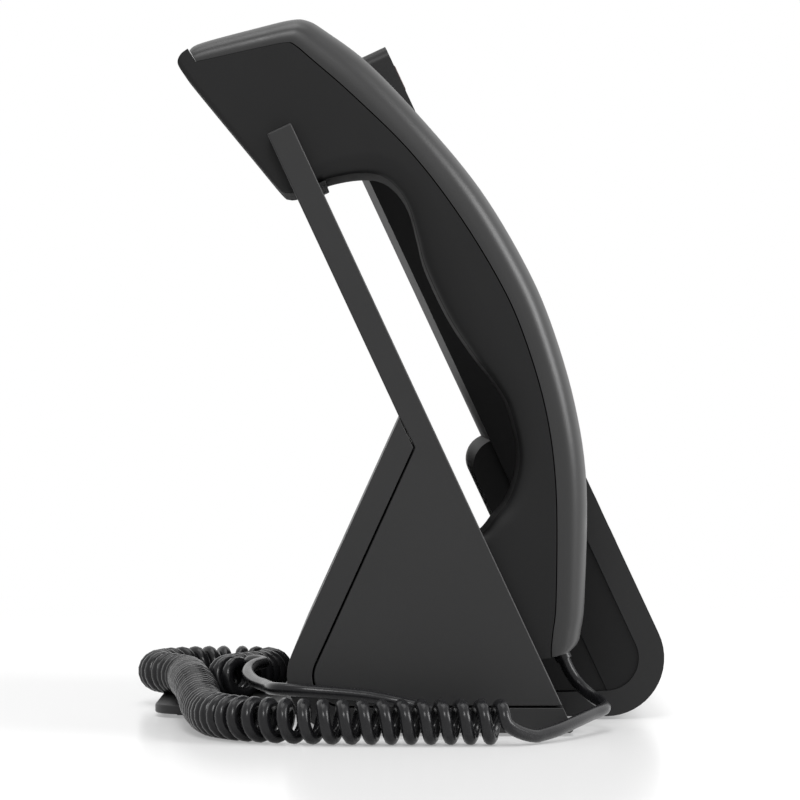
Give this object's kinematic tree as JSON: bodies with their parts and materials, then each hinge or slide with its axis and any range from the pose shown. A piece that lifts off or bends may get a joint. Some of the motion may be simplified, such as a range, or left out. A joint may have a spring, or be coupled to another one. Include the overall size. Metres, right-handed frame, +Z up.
{
  "type": "corded desk telephone",
  "caption": "Upright corded desk telephone: leaning screen and key panel on a folded stand, side cradle, lift-off handset, curly cord.",
  "frame": {"origin": "centre of the telephone's footprint without its cord, on the surface it stands on", "axes": "+Z up, front towards -Y, cradle and handset on the -X side"},
  "size_m": [0.2648, 0.1668, 0.2128],
  "materials": {
    "panel_plastic": "satin",
    "stand_plastic": "satin",
    "dark_plastic": "matte",
    "handset_plastic": "satin",
    "key_plastic": "satin",
    "rubber": "matte",
    "rubber_mat": "matte",
    "screen_glass": "glossy",
    "module_metal": "satin",
    "board": "glossy",
    "capsule_metal": "satin",
    "lamp": "glossy",
    "screw_steel": "satin",
    "cord_black": "glossy"
  },
  "bodies": {
    "stand": {"front_panel": "panel_plastic", "rear_shell": "dark_plastic", "rear_housing": "dark_plastic", "stand_fold": "stand_plastic", "cradle_plate": "stand_plastic", "inner_plate": "stand_plastic", "right_plate": "stand_plastic", "foot_plate": "stand_plastic", "rubber_feet": "rubber", "earpiece_rest": "dark_plastic", "mouthpiece_rest": "dark_plastic", "screen_glass": "screen_glass", "screen_module": "module_metal", "main_board": "board", "key_mat": "rubber_mat", "loudspeaker": "capsule_metal", "message_lamp": "lamp", "network_jacks": "module_metal", "handset_jack": "dark_plastic", "housing_screws": "screw_steel", "handset_lead": "cord_black", "cord_coil": "cord_black", "base_lead": "cord_black", "base_plug": "cord_black"},
    "handset": {"handset_back": "handset_plastic", "handset_front": "handset_plastic", "receiver_capsule": "capsule_metal", "microphone_capsule": "capsule_metal", "handset_weight": "screw_steel", "handset_screws": "screw_steel", "handset_socket": "dark_plastic", "handset_plug": "cord_black"},
    "hook_switch": {"hook_switch": "dark_plastic"},
    "key_1": {"key_1": "key_plastic"},
    "key_2": {"key_2": "key_plastic"},
    "key_3": {"key_3": "key_plastic"},
    "key_4": {"key_4": "key_plastic"},
    "key_5": {"key_5": "key_plastic"},
    "key_6": {"key_6": "key_plastic"},
    "key_7": {"key_7": "key_plastic"},
    "key_8": {"key_8": "key_plastic"},
    "key_9": {"key_9": "key_plastic"},
    "key_star": {"key_star": "key_plastic"},
    "key_0": {"key_0": "key_plastic"},
    "key_hash": {"key_hash": "key_plastic"},
    "soft_key_1": {"soft_key_1": "key_plastic"},
    "soft_key_2": {"soft_key_2": "key_plastic"},
    "soft_key_3": {"soft_key_3": "key_plastic"},
    "soft_key_4": {"soft_key_4": "key_plastic"},
    "speaker_key": {"speaker_key": "key_plastic"},
    "mute_key": {"mute_key": "key_plastic"},
    "headset_key": {"headset_key": "key_plastic"},
    "volume_rocker": {"volume_rocker": "key_plastic"},
    "navigation_ring": {"navigation_ring": "key_plastic"},
    "ok_key": {"ok_key": "key_plastic"}
  },
  "joints": [
    {"name": "handset_lift", "type": "slide", "parent": "stand", "child": "handset", "axis": [0, -0.9063, 0.4226], "range_m": [0, 0.06]},
    {"name": "hook_slide", "type": "slide", "parent": "stand", "child": "hook_switch", "axis": [0, -0.9063, 0.4226], "range_m": [0, 0.002]},
    {"name": "key_1_press", "type": "slide", "parent": "stand", "child": "key_1", "axis": [0, 0.9063, -0.4226], "range_m": [0, 0.0012], "stiffness_N_per_m": 400, "springref_m": -0.0003},
    {"name": "key_2_press", "type": "slide", "parent": "stand", "child": "key_2", "axis": [0, 0.9063, -0.4226], "range_m": [0, 0.0012], "stiffness_N_per_m": 400, "springref_m": -0.0003},
    {"name": "key_3_press", "type": "slide", "parent": "stand", "child": "key_3", "axis": [0, 0.9063, -0.4226], "range_m": [0, 0.0012], "stiffness_N_per_m": 400, "springref_m": -0.0003},
    {"name": "key_4_press", "type": "slide", "parent": "stand", "child": "key_4", "axis": [0, 0.9063, -0.4226], "range_m": [0, 0.0012], "stiffness_N_per_m": 400, "springref_m": -0.0003},
    {"name": "key_5_press", "type": "slide", "parent": "stand", "child": "key_5", "axis": [0, 0.9063, -0.4226], "range_m": [0, 0.0012], "stiffness_N_per_m": 400, "springref_m": -0.0003},
    {"name": "key_6_press", "type": "slide", "parent": "stand", "child": "key_6", "axis": [0, 0.9063, -0.4226], "range_m": [0, 0.0012], "stiffness_N_per_m": 400, "springref_m": -0.0003},
    {"name": "key_7_press", "type": "slide", "parent": "stand", "child": "key_7", "axis": [0, 0.9063, -0.4226], "range_m": [0, 0.0012], "stiffness_N_per_m": 400, "springref_m": -0.0003},
    {"name": "key_8_press", "type": "slide", "parent": "stand", "child": "key_8", "axis": [0, 0.9063, -0.4226], "range_m": [0, 0.0012], "stiffness_N_per_m": 400, "springref_m": -0.0003},
    {"name": "key_9_press", "type": "slide", "parent": "stand", "child": "key_9", "axis": [0, 0.9063, -0.4226], "range_m": [0, 0.0012], "stiffness_N_per_m": 400, "springref_m": -0.0003},
    {"name": "key_star_press", "type": "slide", "parent": "stand", "child": "key_star", "axis": [0, 0.9063, -0.4226], "range_m": [0, 0.0012], "stiffness_N_per_m": 400, "springref_m": -0.0003},
    {"name": "key_0_press", "type": "slide", "parent": "stand", "child": "key_0", "axis": [0, 0.9063, -0.4226], "range_m": [0, 0.0012], "stiffness_N_per_m": 400, "springref_m": -0.0003},
    {"name": "key_hash_press", "type": "slide", "parent": "stand", "child": "key_hash", "axis": [0, 0.9063, -0.4226], "range_m": [0, 0.0012], "stiffness_N_per_m": 400, "springref_m": -0.0003},
    {"name": "soft_key_1_press", "type": "slide", "parent": "stand", "child": "soft_key_1", "axis": [0, 0.9063, -0.4226], "range_m": [0, 0.0012], "stiffness_N_per_m": 400, "springref_m": -0.0003},
    {"name": "soft_key_2_press", "type": "slide", "parent": "stand", "child": "soft_key_2", "axis": [0, 0.9063, -0.4226], "range_m": [0, 0.0012], "stiffness_N_per_m": 400, "springref_m": -0.0003},
    {"name": "soft_key_3_press", "type": "slide", "parent": "stand", "child": "soft_key_3", "axis": [0, 0.9063, -0.4226], "range_m": [0, 0.0012], "stiffness_N_per_m": 400, "springref_m": -0.0003},
    {"name": "soft_key_4_press", "type": "slide", "parent": "stand", "child": "soft_key_4", "axis": [0, 0.9063, -0.4226], "range_m": [0, 0.0012], "stiffness_N_per_m": 400, "springref_m": -0.0003},
    {"name": "speaker_key_press", "type": "slide", "parent": "stand", "child": "speaker_key", "axis": [0, 0.9063, -0.4226], "range_m": [0, 0.0012], "stiffness_N_per_m": 400, "springref_m": -0.0003},
    {"name": "mute_key_press", "type": "slide", "parent": "stand", "child": "mute_key", "axis": [0, 0.9063, -0.4226], "range_m": [0, 0.0012], "stiffness_N_per_m": 400, "springref_m": -0.0003},
    {"name": "headset_key_press", "type": "slide", "parent": "stand", "child": "headset_key", "axis": [0, 0.9063, -0.4226], "range_m": [0, 0.0012], "stiffness_N_per_m": 400, "springref_m": -0.0003},
    {"name": "volume_rocker_press", "type": "slide", "parent": "stand", "child": "volume_rocker", "axis": [0, 0.9063, -0.4226], "range_m": [0, 0.0012], "stiffness_N_per_m": 400, "springref_m": -0.0003},
    {"name": "navigation_ring_press", "type": "slide", "parent": "stand", "child": "navigation_ring", "axis": [0, 0.9063, -0.4226], "range_m": [0, 0.0012], "stiffness_N_per_m": 400, "springref_m": -0.0003},
    {"name": "ok_key_press", "type": "slide", "parent": "stand", "child": "ok_key", "axis": [0, 0.9063, -0.4226], "range_m": [0, 0.0012], "stiffness_N_per_m": 400, "springref_m": -0.0003}
  ],
  "couplings": [
    {"joint": "hook_slide", "follows": "handset_lift", "ratio": 0.033}
  ]
}
